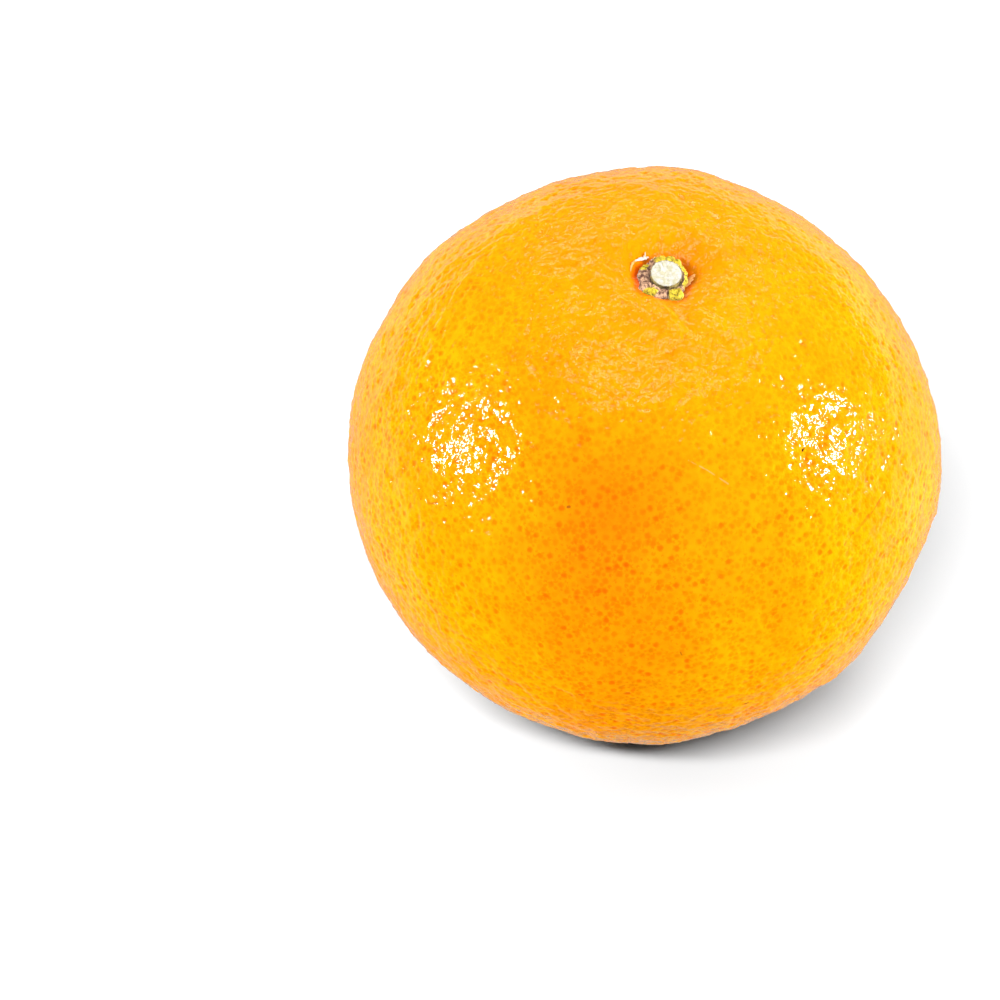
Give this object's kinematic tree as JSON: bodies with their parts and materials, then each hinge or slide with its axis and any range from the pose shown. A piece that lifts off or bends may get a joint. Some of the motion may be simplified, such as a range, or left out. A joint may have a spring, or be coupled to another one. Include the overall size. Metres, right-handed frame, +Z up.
{
  "type": "orange",
  "caption": "Whole fresh orange with dimpled rind, a lobed calyx and a cut stub of stem, resting on a small flat spot.",
  "frame": {"origin": "on the surface that the orange rests on, under the middle of its bounding box", "axes": "+Z is up, along the stem but for a lean of 5.3 degrees towards +X; -Y is the side that faces the viewer"},
  "size_m": [0.0744, 0.074, 0.0676],
  "materials": {
    "rind": "waxy orange peel, softly glossy, finely pitted",
    "calyx": "dry, dull, yellow-green to brown",
    "stem": "dull, pale cut wood with a thin dark bark"
  },
  "bodies": {
    "root": {"fruit": "rind", "calyx": "calyx", "stem": "stem"}
  },
  "joints": []
}
